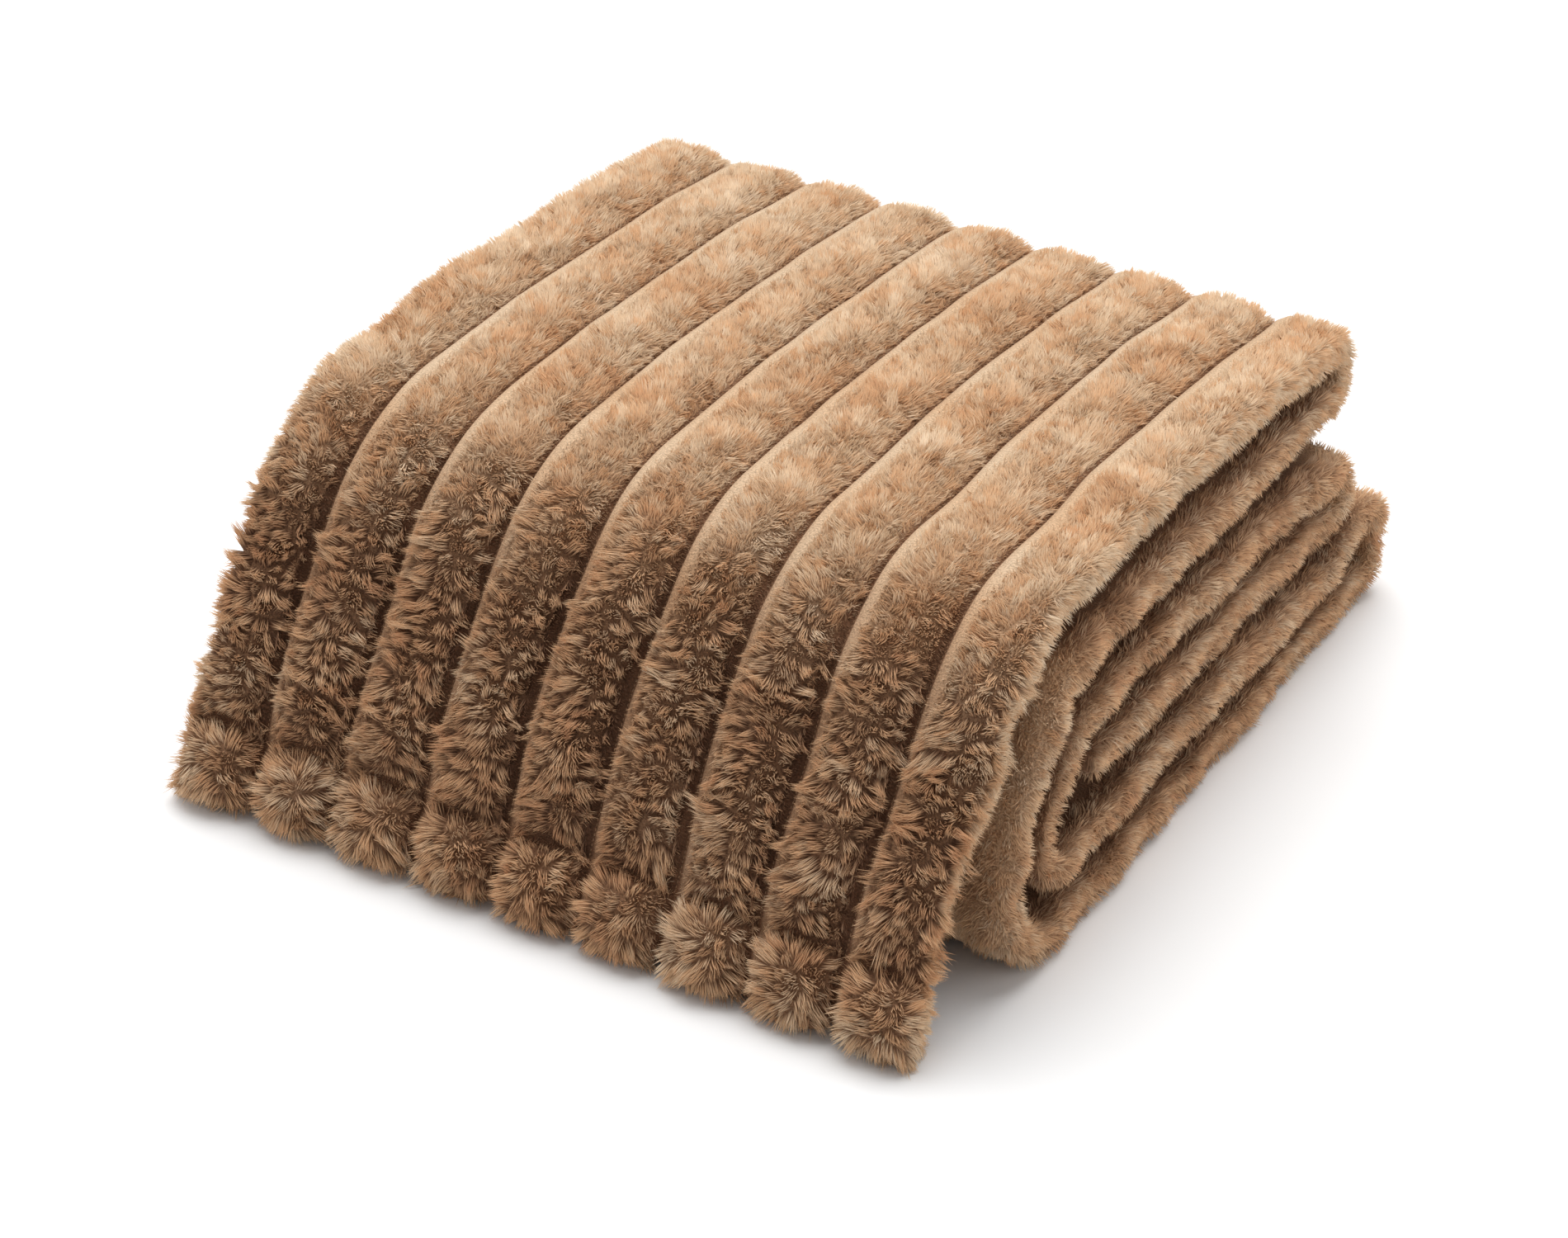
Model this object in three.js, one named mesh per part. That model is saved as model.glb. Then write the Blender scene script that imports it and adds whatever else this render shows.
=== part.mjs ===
import * as THREE from 'three';

// A faux fur throw, folded into a thick stack on a table. Millimetres: X runs across the
// sewn channels, Y from the front hem to the rear bends, Z up from the table.

// The cloth is one length of plush, sewn into raised channels that run along it.
const channel = {
  count: 9,
  pitch: 50,
  crestPower: 3.2,
  sideInset: 3,
  sideBulge: 3,
  sideDrop: 0.4,
};

// Places across one channel where the face and the back have a row of points.
const placesAcross = [0, 0.16, 0.5, 0.84];

// One layer through its pile, with deep channels on the face and shallow ones on the back.
const layer = {
  halfThickness: 13.5,
  faceRelief: 8,
  backRelief: 5,
  endShare: 0.3,
};

// A seam across every channel near the front hem leaves a round tuft at the end of each.
const hem = {
  tuftLength: 44,
  tuftHalfThickness: 19,
  tuftRoundness: 2.4,
  seamHalfThickness: 8,
  seamLength: 20,
  valleySetback: 9,
};

// Slow waves that keep the plush from being even.
const unevenness = {
  height: 0.8,
  lengthAlong: 67,
  lengthAcross: 83,
};

// The back goes flat as it comes down to the table.
const pressedHeight = 12;

// Steps along the section, finest at the hem and where the cloth shows or bends.
const steps = {
  hemRun: 11,
  visibleRun: 50,
  hiddenRun: 130,
  visibleAngle: 20,
  hiddenAngle: 38,
};

// The section of the fold as its corners, each rounded to a radius: from the front hem up
// over the stack, then back and forth to the free end inside. Drift moves a layer along X,
// and loft thickens it where the stack lies loose.
const folds = [
  { name: 'hem tip', y: 0, z: 1, radius: 0, drift: 0, loft: 1 },
  { name: 'hem seam', y: 25, z: 48, radius: 0, drift: 0, loft: 1 },
  { name: 'front flap', y: 43, z: 82, radius: 150, drift: 0, loft: 1 },
  { name: 'front shoulder', y: 118, z: 184, radius: 110, drift: 0, loft: 1 },
  { name: 'top', y: 260, z: 181, radius: 500, drift: 0, loft: 1 },
  { name: 'top rear', y: 400, z: 172, radius: 400, drift: 2, loft: 1 },
  { name: 'upper bend over', y: 488, z: 160.5, radius: 14.7, drift: 4, loft: 1 },
  { name: 'upper bend under', y: 486, z: 131, radius: 14.7, drift: 6, loft: 1 },
  { name: 'second layer', y: 320, z: 145.5, radius: 600, drift: 9, loft: 1.05 },
  { name: 'outer shoulder', y: 134, z: 153, radius: 80, drift: 12, loft: 1 },
  { name: 'outer wall', y: 89, z: 92, radius: 60, drift: 14, loft: 1 },
  { name: 'outer foot', y: 77, z: 13.5, radius: 32, drift: 18, loft: 1 },
  { name: 'lower bend under', y: 506, z: 13.5, radius: 22, drift: 24, loft: 1 },
  { name: 'lower bend over', y: 506, z: 68, radius: 21, drift: 24, loft: 1 },
  { name: 'fourth layer rear', y: 449, z: 41.5, radius: 40, drift: 22, loft: 1 },
  { name: 'fourth layer', y: 300, z: 47.5, radius: 600, drift: 20, loft: 1.2 },
  { name: 'inner foot', y: 109, z: 44, radius: 16, drift: 18, loft: 1 },
  { name: 'inner wall', y: 119, z: 78, radius: 30, drift: 16, loft: 1 },
  { name: 'inner shoulder', y: 153, z: 118.5, radius: 42, drift: 14, loft: 1 },
  { name: 'third layer', y: 320, z: 115, radius: 600, drift: 17, loft: 1.08 },
  { name: 'middle bend over', y: 462, z: 102, radius: 14.7, drift: 18, loft: 1 },
  { name: 'middle bend under', y: 462, z: 72.5, radius: 14.7, drift: 18, loft: 1 },
  { name: 'fifth layer', y: 300, z: 82, radius: 600, drift: 18, loft: 1.18 },
  { name: 'free end', y: 161, z: 86, radius: 0, drift: 18, loft: 1 },
];
const lastHemCorner = 1;
const lastVisibleCorner = 5;

const width = channel.count * channel.pitch;

// One corner of the section as the points of its arc.
function cornerPoints(index) {
  const row = folds[index];
  const corner = new THREE.Vector2(row.y, row.z);
  if (row.radius === 0) {
    return [corner];
  }
  const back = new THREE.Vector2(folds[index - 1].y, folds[index - 1].z).sub(corner).normalize();
  const ahead = new THREE.Vector2(folds[index + 1].y, folds[index + 1].z).sub(corner).normalize();
  const turn = Math.PI - Math.acos(back.dot(ahead));
  const toCentre = back.clone().add(ahead).setLength(row.radius / Math.cos(turn / 2));
  const centre = corner.clone().add(toCentre);
  const start = corner.clone().addScaledVector(back, row.radius * Math.tan(turn / 2));
  const side = -Math.sign(back.cross(ahead));
  const angle = index <= lastVisibleCorner ? steps.visibleAngle : steps.hiddenAngle;
  const pieces = Math.max(1, Math.round(THREE.MathUtils.radToDeg(turn) / angle));
  return Array.from({ length: pieces + 1 }, (_, piece) => (
    start.clone().rotateAround(centre, side * turn * piece / pieces)
  ));
}

// The longest step on the straight run that ends at a corner.
function runStep(index) {
  if (index <= lastHemCorner) {
    return steps.hemRun;
  }
  return index <= lastVisibleCorner + 1 ? steps.visibleRun : steps.hiddenRun;
}

// The whole section as stations: place, heading, distance from the hem tip, drift and loft.
function foldStations() {
  const places = [];
  const marks = [];
  folds.forEach((row, index) => {
    const arc = cornerPoints(index);
    if (index > 0) {
      const last = places[places.length - 1];
      const pieces = Math.ceil(last.distanceTo(arc[0]) / runStep(index));
      for (let piece = 1; piece < pieces; piece += 1) {
        places.push(last.clone().lerp(arc[0], piece / pieces));
      }
    }
    marks.push({ station: places.length + Math.floor(arc.length / 2), row });
    places.push(...arc);
  });
  let along = 0;
  return places.map((place, index) => {
    const before = places[Math.max(index - 1, 0)];
    const after = places[Math.min(index + 1, places.length - 1)];
    along += place.distanceTo(before);
    const heading = after.clone().sub(before).normalize();
    const next = Math.max(1, marks.findIndex((mark) => mark.station >= index));
    const from = marks[next - 1];
    const to = marks[next];
    const share = (index - from.station) / (to.station - from.station);
    const drift = THREE.MathUtils.lerp(from.row.drift, to.row.drift, share);
    const loft = THREE.MathUtils.lerp(from.row.loft, to.row.loft, share);
    return { place, heading, along, drift, loft };
  });
}

// How full a channel stands at a place across it: 0 in the seam, 1 on the crest. The two
// sides of the cloth have no seam and stay full.
function fullness(across) {
  const place = (across / channel.pitch) % 1;
  const fromSide = Math.min(across, width - across);
  const drop = fromSide < channel.pitch / 2 ? channel.sideDrop : 1;
  return 1 - drop * Math.abs(2 * place - 1) ** channel.crestPower;
}

// The layer's thickness as a share of the usual one: tufts, the seam above them, free end.
function thicknessShare(along, length) {
  const full = layer.halfThickness;
  if (along < hem.tuftLength) {
    const round = (1 - Math.abs(2 * along / hem.tuftLength - 1) ** hem.tuftRoundness) ** 0.5;
    const least = along < hem.tuftLength / 2 ? layer.endShare * full : hem.seamHalfThickness;
    return Math.max(least, hem.tuftHalfThickness * round) / full;
  }
  const opened = Math.min(1, (along - hem.tuftLength) / hem.seamLength);
  const fromSeam = THREE.MathUtils.lerp(hem.seamHalfThickness / full, 1, opened);
  const toEnd = Math.min(1, (length - along) / full);
  const roundEnd = Math.max(layer.endShare, Math.sqrt(1 - (1 - toEnd) ** 2));
  return Math.min(fromSeam, roundEnd);
}

// A slow wave over the plush.
function wave(across, along) {
  const alongPart = Math.sin(2 * Math.PI * along / unevenness.lengthAlong + across / channel.pitch);
  return unevenness.height * alongPart * Math.cos(2 * Math.PI * across / unevenness.lengthAcross);
}

// The rows of points across the cloth, from its left side to its right.
function rowsAcross() {
  const rows = [];
  for (let index = 0; index < channel.count; index += 1) {
    rows.push(...placesAcross.map((place) => (index + place) * channel.pitch));
  }
  return [...rows, width];
}

// One loop of points around the layer at a station: face, right side, back, left side.
function sectionLoop(station, length, rows) {
  const { place, heading, along, drift, loft } = station;
  const share = thicknessShare(along, length) * loft;
  const normal = new THREE.Vector2(-heading.y, heading.x);
  const setback = hem.valleySetback * Math.max(0, 1 - along / hem.tuftLength);
  const pointAt = (across, offset) => {
    const spot = place.clone().addScaledVector(normal, offset * share);
    spot.addScaledVector(heading, setback * (1 - fullness(across)));
    return new THREE.Vector3(across + drift, spot.x, Math.max(0, spot.y));
  };
  const inset = (across) => (
    THREE.MathUtils.clamp(across, channel.sideInset, width - channel.sideInset)
  );
  const face = rows.map((across) => {
    const full = fullness(across);
    const offset = layer.halfThickness - layer.faceRelief * (1 - full) + wave(across, along) * full;
    return pointAt(inset(across), offset);
  });
  const lowest = place.y - layer.halfThickness * share * Math.abs(normal.y);
  const loose = THREE.MathUtils.smoothstep(lowest, 0, pressedHeight);
  const back = rows.map((across) => (
    pointAt(inset(across), layer.backRelief * (1 - fullness(across)) * loose - layer.halfThickness)
  ));
  const left = pointAt(-channel.sideBulge, 0);
  const right = pointAt(width + channel.sideBulge, 0);
  return [...face, right, ...back.reverse(), left];
}

// The closed skin through all the loops, with the two ends of the cloth sewn shut.
function clothGeometry() {
  const stations = foldStations();
  const length = stations[stations.length - 1].along;
  const rows = rowsAcross();
  const loops = stations.map((station) => sectionLoop(station, length, rows));
  const size = loops[0].length;
  const faces = [];
  const addQuad = (a, b, c, d) => faces.push(a, b, c, a, c, d);
  for (let loop = 0; loop < loops.length - 1; loop += 1) {
    const here = loop * size;
    for (let index = 0; index < size; index += 1) {
      const next = (index + 1) % size;
      addQuad(here + index, here + next, here + size + next, here + size + index);
    }
  }
  const lastLoop = (loops.length - 1) * size;
  const mirrored = (index) => size - 2 - index;
  for (let index = 0; index < rows.length - 1; index += 1) {
    const opposite = mirrored(index);
    addQuad(index + 1, index, opposite, opposite - 1);
    addQuad(lastLoop + index, lastLoop + index + 1, lastLoop + opposite - 1, lastLoop + opposite);
  }
  const right = rows.length;
  const left = size - 1;
  faces.push(0, left, left - 1, right, right - 1, right + 1);
  faces.push(lastLoop + left, lastLoop, lastLoop + left - 1);
  faces.push(lastLoop + right - 1, lastLoop + right, lastLoop + right + 1);
  const geometry = new THREE.BufferGeometry();
  const positions = loops.flat().flatMap((point) => point.toArray());
  geometry.setAttribute('position', new THREE.Float32BufferAttribute(positions, 3));
  geometry.setIndex(faces);
  geometry.computeVertexNormals();
  return geometry;
}

// Tan plush with a soft, dull pile.
const plush = new THREE.MeshStandardMaterial({ color: '#b08a66', roughness: 0.95, metalness: 0 });

const geometry = clothGeometry();
geometry.computeBoundingBox();
const box = geometry.boundingBox;
geometry.translate(-(box.min.x + box.max.x) / 2, -(box.min.y + box.max.y) / 2, -box.min.z);

const cloth = new THREE.Mesh(geometry, plush);
cloth.name = 'throw_cloth';

const part = new THREE.Group();
part.add(cloth);

export default part;
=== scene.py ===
"""A faux fur throw folded into a thick stack, its front end draped down to the table.

The cloth's own sizes are in millimetres, as on a maker's pattern: `along` runs from the hem tip
through every fold to the free end inside, and `girth` runs round the layer, over its face, round
its right side, back under it and up its left side. MM turns them into metres.
"""

import logging
import math
from collections.abc import Sequence
from dataclasses import dataclass, field
from enum import Enum
from typing import NamedTuple

import bmesh
import bpy
import numpy as np
from bpy.types import ID, Material, Node, NodeSocket, NodeTree, Object
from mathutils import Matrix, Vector


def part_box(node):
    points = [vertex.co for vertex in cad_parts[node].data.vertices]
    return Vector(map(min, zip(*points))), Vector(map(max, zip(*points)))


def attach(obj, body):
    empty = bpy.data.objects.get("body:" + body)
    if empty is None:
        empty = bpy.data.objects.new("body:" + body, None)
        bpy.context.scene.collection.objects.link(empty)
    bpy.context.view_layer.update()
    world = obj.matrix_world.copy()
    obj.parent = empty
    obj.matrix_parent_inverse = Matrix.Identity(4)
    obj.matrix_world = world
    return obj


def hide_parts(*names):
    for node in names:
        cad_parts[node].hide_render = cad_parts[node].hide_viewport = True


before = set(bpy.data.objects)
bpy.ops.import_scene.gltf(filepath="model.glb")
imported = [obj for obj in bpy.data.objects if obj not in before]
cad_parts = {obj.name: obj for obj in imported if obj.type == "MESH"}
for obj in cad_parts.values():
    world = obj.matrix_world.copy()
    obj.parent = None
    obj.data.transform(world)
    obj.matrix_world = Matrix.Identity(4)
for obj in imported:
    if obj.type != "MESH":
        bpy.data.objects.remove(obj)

LOG = logging.getLogger("throw")
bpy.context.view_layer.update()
CLOTH_NODE = "throw_cloth"
BODY = "root"
BAKE_MAP = "OFBake"
WEAVE_MAP = "weave"
TONE = "tone"
HEIGHT = "height"
MM = 0.001
FLOOR_GAP = 0.3
TINY = 1e-12

Array = np.ndarray
Value = float | Array
Triple = tuple[float, float, float]
Stops = tuple[tuple[float, Triple], ...]
Inputs = dict[str | int, object]


class Corner(NamedTuple):
    """A corner of the fold's section, with its radius, the cloth's move along X and its loft."""

    name: str
    y: float
    z: float
    radius: float
    drift: float
    loft: float


FOLDS = (
    Corner("hem tip", 0, 1, 0, 0, 1),
    Corner("hem seam", 25, 48, 0, 0, 1),
    Corner("front flap", 43, 82, 150, 0, 1),
    Corner("front shoulder", 118, 184, 110, 0, 1),
    Corner("top", 260, 181, 500, 0, 1),
    Corner("top rear", 400, 172, 400, 2, 1),
    Corner("upper bend over", 488, 160.5, 14.7, 4, 1),
    Corner("upper bend under", 486, 131, 14.7, 6, 1),
    Corner("second layer", 320, 145.5, 600, 9, 1.05),
    Corner("outer shoulder", 134, 153, 80, 12, 1),
    Corner("outer wall", 89, 92, 60, 14, 1),
    Corner("outer foot", 77, 13.5, 32, 18, 1),
    Corner("lower bend under", 506, 13.5, 22, 24, 1),
    Corner("lower bend over", 506, 68, 21, 24, 1),
    Corner("fourth layer rear", 449, 41.5, 40, 22, 1),
    Corner("fourth layer", 300, 47.5, 600, 20, 1.2),
    Corner("inner foot", 109, 44, 16, 18, 1),
    Corner("inner wall", 119, 78, 30, 16, 1),
    Corner("inner shoulder", 153, 118.5, 42, 14, 1),
    Corner("third layer", 320, 115, 600, 17, 1.08),
    Corner("middle bend over", 462, 102, 14.7, 18, 1),
    Corner("middle bend under", 462, 72.5, 14.7, 18, 1),
    Corner("fifth layer", 300, 82, 600, 18, 1.18),
    Corner("free end", 161, 86, 0, 18, 1),
)

OPEN_BENDS = (
    ("outer shoulder", "outer foot"),
    ("lower bend under", "lower bend over"),
    ("middle bend over", "middle bend under"),
)


def smooth(value: Array) -> Array:
    """Returns an eased 0 to 1 ramp of a value that is cut to that range."""
    cut = np.clip(value, 0.0, 1.0)
    return cut * cut * (3.0 - 2.0 * cut)


def mix(first: Value, last: Value, share: Value) -> Value:
    """Returns the blend of two values, the first at a share of 0 and the last at 1."""
    return first + (last - first) * share


def unit(vectors: Array) -> Array:
    """Returns the vectors at length one."""
    return vectors / np.maximum(np.linalg.norm(vectors, axis=-1, keepdims=True), TINY)


def quarter(ways: Array) -> Array:
    """Returns flat ways turned by a quarter."""
    return np.stack([-ways[:, 1], ways[:, 0]], -1)


@dataclass(frozen=True)
class SoftNoise:
    """Smooth random hills over the cloth, the same on each run."""

    seed: int
    cell: float
    lattice: int = 97

    def at(self, along: Array, girth: Array) -> Array:
        """Reads the noise.

        Args:
            along: Places along the cloth, in millimetres.
            girth: Places round the layer, in millimetres.

        Returns:
            A value from -1 to 1 for each place.
        """
        table = np.random.default_rng(self.seed).uniform(-1, 1, (self.lattice, self.lattice))
        u, v = along / self.cell, girth / self.cell
        i, j = np.floor(u).astype(int), np.floor(v).astype(int)
        fu, fv = smooth(u - i), smooth(v - j)
        i, j = i % self.lattice, j % self.lattice
        i2, j2 = (i + 1) % self.lattice, (j + 1) % self.lattice
        low = table[i, j] * (1 - fu) + table[i2, j] * fu
        high = table[i, j2] * (1 - fu) + table[i2, j2] * fu
        return low * (1 - fv) + high * fv


class FoldPath:
    """The line through the middle of the folded cloth, from the hem tip to the free end."""

    step: float = 1.0
    heading_reach: int = 3
    least_pieces: int = 4
    piece_angle: float = 4.0

    def __init__(self, corners: Sequence[Corner]) -> None:
        """Rounds the corners and reads the line at even steps.

        Args:
            corners: The corners of the section, in order.
        """
        spots: list[Array] = []
        marks: list[int] = []
        for index in range(len(corners)):
            arc = self._arc(corners, index)
            marks.append(len(spots) + len(arc) // 2)
            spots.extend(arc)
        points = np.array(spots)
        along = np.concatenate([[0.0], np.cumsum(np.linalg.norm(np.diff(points, axis=0), axis=1))])
        self.length = float(along[-1])
        self.corner_along = {c.name: float(along[m]) for c, m in zip(corners, marks, strict=True)}
        self.along = np.arange(0.0, self.length, self.step)
        self.places = np.stack([np.interp(self.along, along, points[:, k]) for k in (0, 1)], 1)
        reach = self.heading_reach
        ahead = np.concatenate([self.places[reach:], np.repeat(self.places[-1:], reach, 0)])
        behind = np.concatenate([np.repeat(self.places[:1], reach, 0), self.places[:-reach]])
        self.headings = unit(ahead - behind)
        at_marks = list(self.corner_along.values())
        self.drift = np.interp(self.along, at_marks, [c.drift for c in corners])
        self.loft = np.interp(self.along, at_marks, [c.loft for c in corners])

    def _arc(self, corners: Sequence[Corner], index: int) -> list[Array]:
        """Rounds one corner.

        Args:
            corners: The corners of the section, in order.
            index: Which of them it is.

        Returns:
            The places on the rounded corner, in order.
        """
        row = corners[index]
        corner = np.array([row.y, row.z], float)
        if row.radius == 0:
            return [corner]
        back = unit(np.array([corners[index - 1].y, corners[index - 1].z]) - corner)
        ahead = unit(np.array([corners[index + 1].y, corners[index + 1].z]) - corner)
        turn = math.pi - math.acos(float(back @ ahead))
        centre = corner + unit(back + ahead) * row.radius / math.cos(turn / 2)
        spoke = corner + back * row.radius * math.tan(turn / 2) - centre
        side = -math.copysign(1.0, back[0] * ahead[1] - back[1] * ahead[0])
        pieces = max(self.least_pieces, round(math.degrees(turn) / self.piece_angle))
        arc = []
        for piece in range(pieces + 1):
            angle = side * turn * piece / pieces
            cos, sin = math.cos(angle), math.sin(angle)
            turned = np.array([spoke[0] * cos - spoke[1] * sin, spoke[0] * sin + spoke[1] * cos])
            arc.append(centre + turned)
        return arc

    def read(self, along: Array) -> tuple[Array, Array, Array, Array]:
        """Reads the line at any places along it.

        Args:
            along: Distances from the hem tip, in millimetres.

        Returns:
            The places and headings in the section, the drift and the loft.
        """
        place = np.stack([np.interp(along, self.along, self.places[:, k]) for k in (0, 1)], -1)
        head = np.stack([np.interp(along, self.along, self.headings[:, k]) for k in (0, 1)], -1)
        drift = np.interp(along, self.along, self.drift)
        return place, unit(head), drift, np.interp(along, self.along, self.loft)


@dataclass(frozen=True)
class ClothShape:
    """The channelled layer on its folds: its thickness, and its pile's depth and tone."""

    path: FoldPath
    channels: int = 9
    pitch: float = 50.0
    crest_power: float = 2.8
    half_thickness: float = 13.5
    face_relief: float = 8.0
    back_relief: float = 5.0
    side_drop: float = 0.4
    side_inset: float = 2.5
    side_round: float = 11.0
    side_bulge: float = 3.0
    crest_pile: float = 5.4
    flap_pile: float = 6.0
    sleek_pile: float = 1.3
    seam_pile: float = 1.2
    tuft_pile: float = 6.4
    hidden_pile: float = 5.0
    hidden_from: float = 10.0
    hidden_fade: float = 20.0
    side_pile: float = 0.85
    pressed_pile: float = 0.15
    pressed_height: float = 12.0
    least_ground: float = 1.2
    near_bare: float = 0.4
    near_ramp: float = 3.5
    top_bare: float = 0.4
    top_ramp: float = 4.0
    flap_bare: float = 0.6
    flap_ramp: float = 8.0
    seam_dip: float = 4.0
    seam_dip_width: float = 2.2
    nap_reach: float = 10.0
    nap_reach_top: float = 13.0
    sleek_flap: float = 0.8
    sleek_full: float = 0.35
    tuft_length: float = 44.0
    tuft_half: float = 19.0
    tuft_tip: float = 0.3
    tuft_roundness: float = 2.4
    tuft_seam_half: float = 8.0
    tuft_seam_length: float = 20.0
    tuft_fade: float = 12.0
    valley_setback: float = 9.0
    nose: float = 6.0
    top_before: float = 75.0
    top_fade: float = 115.0
    layer_fade: float = 30.0
    open_reach: float = 30.0
    open_fade: float = 25.0
    lump: SoftNoise = SoftNoise(seed=5, cell=23.0)
    lump_height: float = 1.7
    waver: SoftNoise = SoftNoise(seed=8, cell=60.0)
    waver_width: float = 1.6
    wander: SoftNoise = SoftNoise(seed=6, cell=22.0)
    wander_depth: float = 8.0
    wander_apart: float = 130.0
    swell: float = 0.26
    tone_middle: float = 0.5
    tone_patch: SoftNoise = SoftNoise(seed=31, cell=37.0)
    tone_patch_depth: float = 0.16
    # Painted light: the top's tone is a little paler, where the light from above falls.
    top_painted_light: float = 0.02
    # Painted highlight: the sleek left flanks are paler, where the smooth nap catches the light.
    sleek_painted_highlight: float = 0.05
    # Darker in the seams: partly the bare knit's own darker tone, partly painted shade in the
    # crease.
    seam_tone_and_shade: float = 0.14
    # Painted shade: more darkening in the seams on the drape.
    drape_seam_shade: float = 0.08
    # Partly painted shade, partly the cloth's own darker tone: on the drape and on the folded
    # layers.
    drape_tone_and_shade: float = 0.2
    layer_tone_and_shade: float = 0.17
    # Less of that painted shade on the hem tufts and on the open faces of the lower layers.
    tuft_paler: float = 0.5
    face_paler: float = 0.4
    dent_depth: float = 6.5
    dent_width: float = 13.0
    dent_length: float = 5.5
    dent_droop: float = 5.0
    dent_lift: float = 3.0
    dent_share: float = 0.85

    @property
    def width(self) -> float:
        """The cloth's width over all its channels."""
        return self.channels * self.pitch

    @property
    def inner(self) -> float:
        """How far in from the cloth's edge its face begins."""
        return self.side_inset + self.side_round

    @property
    def face_girth(self) -> float:
        """How much of the girth the face takes, and the back as much again."""
        return self.width - 2 * self.inner

    @property
    def side_girth(self) -> float:
        """How much of the girth one side takes."""
        return math.pi * self.side_round

    @property
    def girth(self) -> float:
        """The whole way round the layer."""
        return 2 * (self.face_girth + self.side_girth)

    def around(self, girth: Array) -> tuple[Array, Array]:
        """Turns a place round the layer into one across it.

        Args:
            girth: Places round the layer, in millimetres.

        Returns:
            The place across the cloth, and 1 on the face, -1 on the back, between at the sides.
        """
        g = np.mod(girth, self.girth)
        face, side, round_ = self.face_girth, self.side_girth, self.side_round
        right = np.clip((g - face) / round_, 0, math.pi)
        left = np.clip((g - 2 * face - side) / round_, 0, math.pi)
        back = np.clip(g - face - side, 0, face)
        across = self.inner + np.clip(g, 0, face) - back
        across = across + round_ * np.sin(right) - round_ * np.sin(left)
        rise = np.where(g < face + side + face / 2, np.cos(right), -np.cos(left))
        return across, rise

    def fullness(self, across: Array) -> Array:
        """How full a channel stands at a place across it.

        Args:
            across: Places across the cloth, in millimetres.

        Returns:
            0 in the seam, 1 on the crest.
        """
        place = np.mod(across / self.pitch, 1.0)
        from_side = np.minimum(across, self.width - across)
        drop = np.where(from_side < self.pitch / 2, self.side_drop, 1.0)
        return 1 - drop * np.abs(2 * place - 1) ** self.crest_power

    def share(self, along: Array) -> Array:
        """The layer's thickness against the usual one: the tufts and the seam above them.

        Args:
            along: Distances from the hem tip, in millimetres.

        Returns:
            The share of the usual thickness.
        """
        half = self.half_thickness
        inside = np.clip(np.abs(2 * along / self.tuft_length - 1), 0, 1)
        tuft = self.tuft_half * (1 - inside**self.tuft_roundness) ** 0.5
        lower = along < self.tuft_length / 2
        least = np.where(lower, self.tuft_tip * half, self.tuft_seam_half)
        opened = np.clip((along - self.tuft_length) / self.tuft_seam_length, 0, 1)
        above = mix(self.tuft_seam_half, half, opened)
        return np.where(along < self.tuft_length, np.maximum(least, tuft), above) / half

    def from_seam(self, across: Array) -> Array:
        """The way to the nearest sewn seam, less than zero left of it; the two sides have none."""
        nearest = np.clip(np.rint(across / self.pitch), 1, self.channels - 1) * self.pitch
        return across - nearest

    def opening(self, along: Array, across: Array) -> Array:
        """How far the pile has grown beside a seam, sooner on the seam's right.

        Args:
            along: Distances from the hem tip, in millimetres.
            across: Places across the cloth, in millimetres.

        Returns:
            0 in the seam, 1 where the pile has its full depth.
        """
        gap = self.from_seam(across)
        covered = np.maximum(self.on_top(along), self.tufted(along))
        bare = mix(self.flap_bare, self.top_bare, covered)
        reach = mix(self.flap_ramp, self.top_ramp, covered)
        near = smooth((gap - self.near_bare) / self.near_ramp)
        opened = np.where(gap > 0, near, smooth((-gap - bare) / reach))
        return opened * (1 - self.dent_share * self.dent(along, across))

    def dent(self, along: Array, across: Array) -> Array:
        """The crescent above each tuft, where the hem is sewn.

        Args:
            along: Distances from the hem tip, in millimetres.
            across: Places across the cloth, in millimetres.

        Returns:
            1 in the middle of the crescent, fading to 0.
        """
        middle = (np.mod(across, self.pitch) - self.pitch / 2) / self.dent_width
        above = along + self.dent_droop * middle**2 - self.tuft_length - self.dent_lift
        return np.exp(-(middle**2) - (above / self.dent_length) ** 2)

    def tufted(self, along: Array) -> Array:
        """1 on the hem tufts, 0 above the seam that parts them from the flap."""
        return smooth((self.tuft_length + self.tuft_fade / 2 - along) / self.tuft_fade)

    def on_top(self, along: Array) -> Array:
        """0 on the flap at the front, 1 from the shoulder on."""
        shoulder = self.path.corner_along["front shoulder"]
        return smooth((along - shoulder + self.top_before) / self.top_fade)

    def layered(self, along: Array) -> Array:
        """0 on the top length, 1 on the layers that lie folded under it."""
        return smooth((along - self.path.corner_along["upper bend under"]) / self.layer_fade)

    def pressed(self, along: Array) -> Array:
        """Where the layers lie pressed on each other.

        Args:
            along: Distances from the hem tip, in millimetres.

        Returns:
            1 where other layers lie on both faces of a layer, 0 on the top and at open bends.
        """
        at = self.path.corner_along
        shown = np.zeros_like(along)
        for first, last in OPEN_BENDS:
            entered = smooth((along - at[first] + self.open_reach) / self.open_fade)
            unpassed = smooth((at[last] + self.open_reach - along) / self.open_fade)
            shown = np.maximum(shown, entered * unpassed)
        return self.layered(along) * (1 - shown)

    def sleek(self, along: Array, across: Array) -> Array:
        """The left flank of each channel, where the nap lies smooth.

        Args:
            along: Distances from the hem tip, in millimetres.
            across: Places across the cloth, in millimetres.

        Returns:
            Up to 1 on the flank, 0 elsewhere.
        """
        on_top = self.on_top(along)
        reach = mix(self.nap_reach, self.nap_reach_top, on_top)
        most = mix(self.sleek_flap, 1, on_top)
        sewn = across > self.pitch / 2
        past = np.mod(across, self.pitch) - self.sleek_full * reach
        return sewn * most * (1 - smooth(past / reach))

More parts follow.
